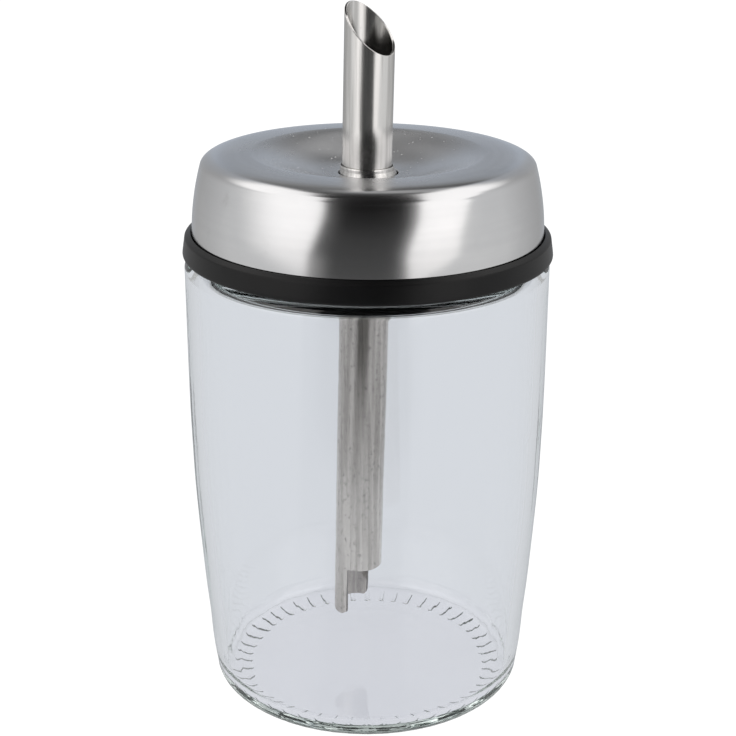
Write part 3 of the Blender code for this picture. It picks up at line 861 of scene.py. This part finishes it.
def build_world():
    world = bpy.data.worlds.new("studio")
    bpy.context.scene.world = world
    world.use_nodes = True
    n = Nodes(world.node_tree)
    out = n.add("ShaderNodeOutputWorld")
    background = n.add("ShaderNodeBackground")
    n.link(background.outputs[0], out.inputs["Surface"])
    sep = n.add("ShaderNodeSeparateXYZ")
    n.link(n.add("ShaderNodeTexCoord").outputs["Generated"], sep.inputs[0])
    deg = 180 / math.pi
    # Azimuth 0 is towards -Y, positive to the right; elevation 0 is level.
    az = n.math("MULTIPLY", n.math("ARCTAN2", sep.outputs[0], n.math("MULTIPLY", sep.outputs[1], -1.0)), deg)
    el = n.math("MULTIPLY", n.math("ARCSINE", sep.outputs[2]), deg)

    x, y = sep.outputs[0], sep.outputs[1]

    def between(value, a0, a1, b0, b1):
        return n.math("MULTIPLY", n.step(value, a0, a1), n.step(value, b0, b1, 1.0, 0.0))

    def grey(value, tint=(1.0, 1.0, 1.0)):
        return tuple(value * t for t in tint)

    # A dark lane runs from the front over the top to the back, narrower as it goes.
    lane = n.math("MINIMUM", n.math("MULTIPLY_ADD", y, -0.31, 0.33), 0.50)
    lane = n.math("MAXIMUM", lane, 0.20)
    ahead = n.step(y, -0.60, -0.30, 1.0, 0.0)
    lane_r = n.math("MULTIPLY_ADD", n.step(el, -8.0, 12.0, -0.095, 0.037), ahead, lane)
    lane_l = n.math("MULTIPLY_ADD", n.step(el, -9.0, 15.0, 0.100, -0.040), ahead, lane)
    lane_l = n.math("SUBTRACT", lane_l, n.math("MULTIPLY", n.step(el, 30.0, 58.0, 0.0, 0.09), n.step(y, -0.10, 0.05, 1.0, 0.0)))
    out_r = n.math("SUBTRACT", x, lane_r)
    out_l = n.math("SUBTRACT", n.math("MULTIPLY", x, -1.0), lane_l)
    # The lane's borders are soft, softest low on the left.
    haze_r = n.math("MULTIPLY", n.step(out_r, -0.14, 0.03, 0.0, 0.26), ahead)
    haze_l = n.math("MULTIPLY", n.step(out_l, -0.24, 0.03), n.step(el, -9.0, -2.0, 0.32, 0.06))
    haze_l = n.math("MULTIPLY", haze_l, ahead)
    outside_r = n.math("MAXIMUM", n.step(out_r, -0.035, 0.035), haze_r)
    outside_l = n.math("MAXIMUM", n.step(out_l, -0.045, 0.045), haze_l)
    outside = n.math("ADD", outside_r, outside_l, clamp=True)
    # Low on each side a tall soft box stands in front of the grey room.
    edge_r = n.math("SUBTRACT", n.math("MULTIPLY_ADD", n.math("MAXIMUM", el, 0.0), 0.9, 61.0), az)
    edge_r = n.math("MULTIPLY_ADD", n.math("MINIMUM", el, 0.0), 0.3, edge_r)
    edge_r = n.math("MULTIPLY_ADD", n.math("MINIMUM", n.math("ADD", el, 8.0), 0.0), 2.6, edge_r)
    edge_l = n.math("ADD", n.math("MULTIPLY_ADD", n.math("MAXIMUM", el, 0.0), 0.35, 73.5), az)
    edge_l = n.math("MULTIPLY_ADD", n.math("MINIMUM", n.math("ADD", el, 6.0), 0.0), 3.5, edge_l)
    box_r = n.math("MULTIPLY", n.step(edge_r, -2.5, 2.5), n.math("GREATER_THAN", az, 0.0))
    box_l = n.math("MULTIPLY", n.step(edge_l, -22.0, 19.0), n.math("LESS_THAN", az, 0.0))
    boxes = n.math("ADD", box_r, box_l, clamp=True)
    # Above the room the light comes from all round.
    high = n.step(el, 31.0, 46.0)
    away = n.math("MULTIPLY", n.math("ABSOLUTE", az), 1 / 180)
    room = n.ramp(
        away,
        [
            (0.40, grey(0.84)), (0.54, grey(0.80)), (0.63, grey(0.68)), (0.72, grey(0.57)),
            (0.80, grey(0.48)), (0.90, grey(0.46, (0.97, 1.0, 1.05))), (1.00, grey(0.52, (0.92, 1.0, 1.12))),
        ],
        "LINEAR",
    )
    bright = n.mix(n.step(el, -14.0, 6.0), grey(1.22, (1.02, 1.0, 0.99)), grey(1.54, (1.02, 1.0, 0.99)))
    sides = n.mix(n.math("MAXIMUM", boxes, high), room, bright)
    front = n.ramp(
        n.math("MULTIPLY_ADD", el, 1 / 90, 0.5),
        [
            (0.00, grey(0.60)), (0.14, grey(0.52)), (0.21, grey(0.36)), (0.27, grey(0.12)), (0.35, grey(0.095)),
            (0.43, grey(0.080)), (0.53, grey(0.060)), (0.59, grey(0.032)), (0.66, grey(0.011)),
            (1.00, grey(0.012)),
        ],
        "LINEAR",
    )
    back = n.ramp(
        n.math("MULTIPLY_ADD", el, 1 / 90, 0.2),
        [
            (0.00, grey(0.62)), (0.13, grey(0.58, (0.95, 1.0, 1.08))), (0.20, grey(0.53, (0.92, 1.0, 1.12))),
            (0.34, grey(0.52, (0.92, 1.0, 1.13))), (0.43, grey(0.44, (0.93, 1.0, 1.10))),
            (0.50, grey(0.34)), (0.56, grey(0.23)), (0.66, grey(0.20)), (0.74, grey(0.19)), (0.82, grey(0.09)),
            (0.95, grey(0.03)), (1.00, grey(0.016)),
        ],
        "LINEAR",
    )
    shade = n.math("MULTIPLY", between(x, -0.02, 0.04, 0.16, 0.26), between(el, 25.0, 30.0, 34.0, 38.0))
    back = n.mix(n.math("MULTIPLY", shade, 0.60), back, grey(0.04))
    # A narrow lamp crosses the lane high behind.
    lamp = n.math("MULTIPLY", between(x, -0.10, -0.01, 0.30, 0.40), between(el, 36.0, 40.0, 48.0, 53.0))
    back = n.mix(lamp, back, grey(0.46))
    middle = n.mix(n.step(y, -0.10, 0.10), front, back)
    # Light that the glass bends round its rim comes from a paler room.
    ray = n.add("ShaderNodeLightPath")
    bent = n.math("GREATER_THAN", ray.outputs["Transmission Depth"], 0.5)
    middle = n.mix(n.math("MULTIPLY", bent, 0.85), middle, grey(0.62))
    sky = n.mix(outside, middle, sides)
    low = n.math("SUBTRACT", 1.0, n.step(el, -44.0, -30.0))
    color = n.mix(low, sky, grey(0.72))
    color = n.mix(ray.outputs["Is Camera Ray"], color, (1.0, 1.0, 1.0))
    n.link(color, background.inputs["Color"])
    background.inputs["Strength"].default_value = 1.0


def build_camera():
    data = bpy.data.cameras.new("view")
    data.lens = LENS_MM
    data.sensor_width = 36.0
    data.sensor_fit = "HORIZONTAL"
    data.clip_start = 0.01
    data.clip_end = 50.0
    camera = bpy.data.objects.new("view", data)
    bpy.context.scene.collection.objects.link(camera)
    camera.matrix_world = (
        Matrix.Translation((CAMERA_X, CAMERA_Y, CAMERA_Z))
        @ Matrix.Rotation(math.radians(90 - PITCH_DEG), 4, "X")
        @ Matrix.Rotation(math.radians(ROLL_DEG), 4, "Z")
    )
    bpy.context.scene.camera = camera


def main():
    scene = bpy.context.scene
    glass = glass_material()
    build_jar(glass)
    build_shell(lid_material())
    build_insert(plastic_material())
    build_seal(seal_material())
    build_tube(tube_material("drawn_tube_steel"))
    build_collar(tube_material("collar_steel_bright", True))
    build_bush(bush_material())
    build_retainer(spring_material())
    build_floor()
    build_world()
    build_camera()
    scene.view_settings.view_transform = "Standard"
    scene.view_settings.look = "None"
    scene.view_settings.exposure = 0.0
    scene.cycles.use_denoising = True
    scene.cycles.max_bounces = 64
    scene.cycles.transmission_bounces = 48
    scene.cycles.glossy_bounces = 48
    scene.cycles.transparent_max_bounces = 16
    scene.cycles.caustics_refractive = True
    scene.cycles.caustics_reflective = True


main()
